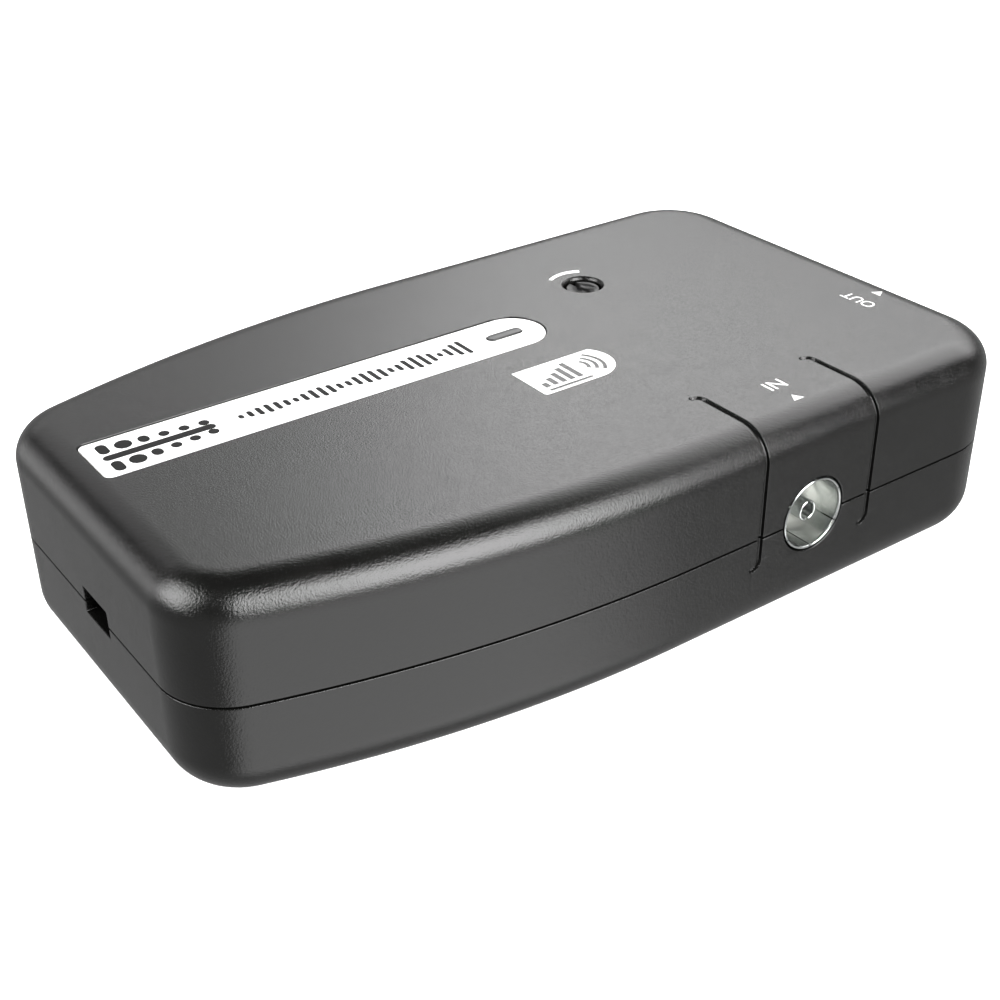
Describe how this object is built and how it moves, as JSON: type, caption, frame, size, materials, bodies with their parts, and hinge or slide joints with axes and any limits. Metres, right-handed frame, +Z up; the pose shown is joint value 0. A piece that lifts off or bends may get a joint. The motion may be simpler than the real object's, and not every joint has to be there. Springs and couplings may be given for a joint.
{
  "type": "tv aerial signal booster",
  "caption": "Mains TV aerial signal booster in a charcoal plastic case with a tapered plan, nameplate strip, status light, screwdriver gain adjuster and coaxial aerial sockets.",
  "frame": {"origin": "centre of the case's bounding box in plan, on the flat underside that the booster stands on", "axes": "+X along the case to the wide end with the output socket, +Y to the back, away from the input socket's side, +Z up through the top face"},
  "size_m": [0.125, 0.0732, 0.03],
  "materials": {
    "case_plastic": "dark charcoal ABS, satin with a fine moulded grain",
    "plate_white": "white printed polycarbonate strip, satin",
    "label_paper": "pale silver-grey film, matt",
    "lens_grey": "unlit grey translucent light pipe",
    "led_clear": "water-clear epoxy lamp body",
    "spindle_plastic": "dark grey nylon, satin",
    "rotor_white": "off-white nylon",
    "component_black": "black moulded component bodies",
    "plated_metal": "bright nickel-plated brass",
    "insulator_cream": "cream polypropylene",
    "board_green": "green solder mask on glass epoxy",
    "tinned_steel": "tinned sheet steel",
    "lamination_steel": "varnished transformer laminations",
    "winding_tape": "yellow polyester winding tape",
    "winding_copper": "enamelled copper wire",
    "sleeve_blue": "dark blue shrink sleeve",
    "ferrite": "grey-black sintered ferrite",
    "screw_steel": "zinc-plated steel"
  },
  "bodies": {
    "root": {"upper_shell": "case_plastic", "lower_shell": "case_plastic", "nameplate": "plate_white", "rating_label": "label_paper", "led_lens": "lens_grey", "status_led": "led_clear", "trimmer_body": "component_black", "input_socket_shell": "plated_metal", "input_socket_insulator": "insulator_cream", "input_socket_contact": "plated_metal", "output_socket_shell": "plated_metal", "output_socket_insulator": "insulator_cream", "output_socket_contact": "plated_metal", "circuit_board": "board_green", "shield_frame": "tinned_steel", "shield_lid": "tinned_steel", "transformer_core": "lamination_steel", "transformer_bobbin": "component_black", "primary_winding": "winding_tape", "secondary_winding": "winding_copper", "smoothing_capacitor": "sleeve_blue", "output_capacitor": "sleeve_blue", "voltage_regulator": "component_black", "mains_fuse": "label_paper", "mains_terminal": "component_black", "amplifier_transistor": "component_black", "ferrite_balun": "ferrite", "filter_choke": "ferrite", "rectifier_diode_1": "component_black", "case_screw_1": "screw_steel", "board_screw_1": "screw_steel", "rectifier_diode_2": "component_black", "case_screw_2": "screw_steel", "board_screw_2": "screw_steel", "rectifier_diode_3": "component_black", "case_screw_3": "screw_steel", "board_screw_3": "screw_steel", "rectifier_diode_4": "component_black", "case_screw_4": "screw_steel", "board_screw_4": "screw_steel"},
    "gain_adjuster": {"gain_spindle": "spindle_plastic", "trimmer_rotor": "rotor_white"}
  },
  "joints": [
    {"name": "gain_turn", "type": "hinge", "parent": "root", "child": "gain_adjuster", "pos_m": [0.0241, 0.0145, 0.0294], "axis": [0, 0, 1], "range_deg": [-117.5, 117.5]}
  ]
}
